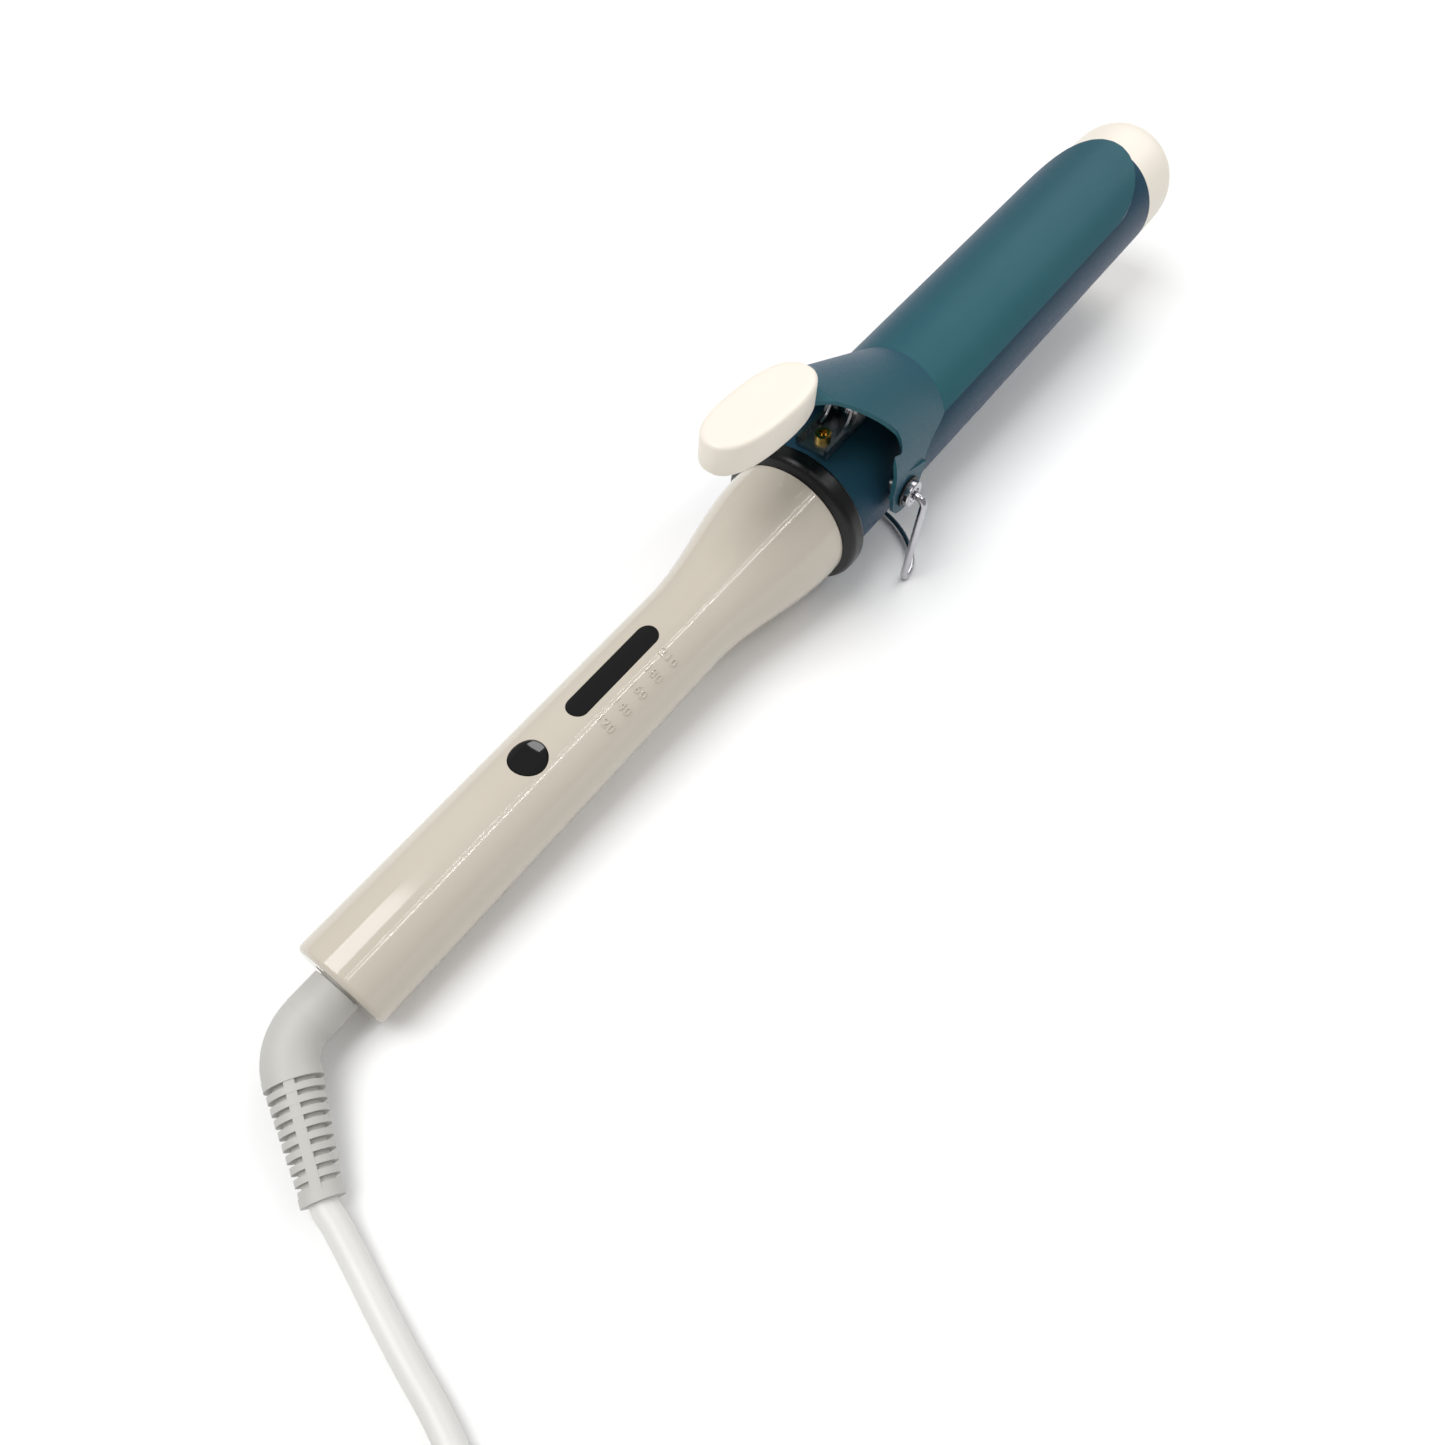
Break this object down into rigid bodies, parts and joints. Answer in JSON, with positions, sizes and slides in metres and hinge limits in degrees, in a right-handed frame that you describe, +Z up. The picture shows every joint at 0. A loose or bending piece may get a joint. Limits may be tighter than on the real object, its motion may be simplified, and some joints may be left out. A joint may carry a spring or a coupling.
{
  "type": "curling iron",
  "caption": "Mains curling iron with a sprung clamp, thumb rest, wire stand, push button and a free cord with a flat plug.",
  "frame": {"origin": "middle of the iron's footprint, on the surface it stands on, without the loose cord", "axes": "+X towards the tip of the barrel, +Y to the left seen from the handle, +Z up"},
  "size_m": [0.5375, 0.1611, 0.079],
  "materials": {
    "handle_plastic": "glossy",
    "black_plastic": "satin",
    "button_plastic": "glossy",
    "window_plastic": "glossy",
    "ivory_plastic": "satin",
    "teal_coating": "satin ceramic coating on aluminium sheet",
    "chrome_steel": "polished",
    "plain_steel": "plain",
    "dark_steel": "blackened",
    "brass": "plain",
    "aluminium": "extruded",
    "board_green": "solder mask",
    "dark_moulding": "matt",
    "led_lens": "clear",
    "mica": "insulating sheet",
    "heater_ceramic": "ceramic",
    "film": "insulating film",
    "capacitor_plastic": "moulded",
    "carbon": "graphite",
    "sleeve_rubber": "matt",
    "cord_pvc": "satin"
  },
  "bodies": {
    "iron": {"handle_shell": "handle_plastic", "display_window": "window_plastic", "circuit_board": "board_green", "board_cradle": "dark_moulding", "board_screws": "plain_steel", "button_switch": "dark_moulding", "indicator_leds": "led_lens", "light_guide": "dark_moulding", "film_capacitor": "capacitor_plastic", "power_triac": "dark_moulding", "control_chip": "dark_moulding", "board_fuse": "mica", "swivel_bush": "ivory_plastic", "brush_block": "dark_moulding", "contact_brushes": "carbon", "guard_ring": "black_plastic", "neck_screw": "plain_steel", "barrel_tube": "teal_coating", "barrel_screws": "chrome_steel", "wire_disc": "mica", "heater_plate": "heater_ceramic", "heater_electrodes": "aluminium", "heat_spreaders": "aluminium", "heater_film": "film", "thermal_fuse": "plain_steel", "temperature_probe": "film", "heater_leads": "cord_pvc", "tip_cap": "ivory_plastic", "tip_disc": "mica", "pivot_studs": "chrome_steel", "pivot_washers": "dark_steel", "pivot_nuts": "chrome_steel", "spring_bracket": "plain_steel", "bracket_screw": "brass", "spring_pin": "plain_steel", "clamp_spring": "chrome_steel"},
    "clamp": {"clamp_shell": "teal_coating", "thumb_rest": "ivory_plastic", "rest_screws": "plain_steel"},
    "stand": {"stand_wire": "chrome_steel"},
    "button": {"power_button": "button_plastic"},
    "swivel": {"cord_sleeve": "sleeve_rubber", "swivel_clip": "plain_steel", "slip_rings": "brass", "cord": "cord_pvc", "cord_coil": "cord_pvc", "coil_tie": "black_plastic", "plug_body": "cord_pvc", "plug_pins": "brass"}
  },
  "joints": [
    {"name": "clamp_open", "type": "hinge", "parent": "iron", "child": "clamp", "pos_m": [0.0067, 0, 0.03124], "axis": [0, -1, 0], "range_deg": [0, 25], "stiffness_Nm_per_rad": 0.35, "springref_deg": -28.65, "deforming": ["clamp_spring"]},
    {"name": "stand_swing", "type": "hinge", "parent": "iron", "child": "stand", "pos_m": [0.0067, 0, 0.03124], "axis": [0, -1, 0], "range_deg": [-62, 15]},
    {"name": "button_press", "type": "slide", "parent": "iron", "child": "button", "axis": [0.0698, 0, -0.9976], "range_m": [0, 0.0006], "stiffness_N_per_m": 1500, "springref_m": -0.0003},
    {"name": "cord_swivel", "type": "hinge", "parent": "iron", "child": "swivel", "pos_m": [-0.18848, 0, 0.01257], "axis": [0.9976, 0, 0.0698], "continuous": true}
  ]
}
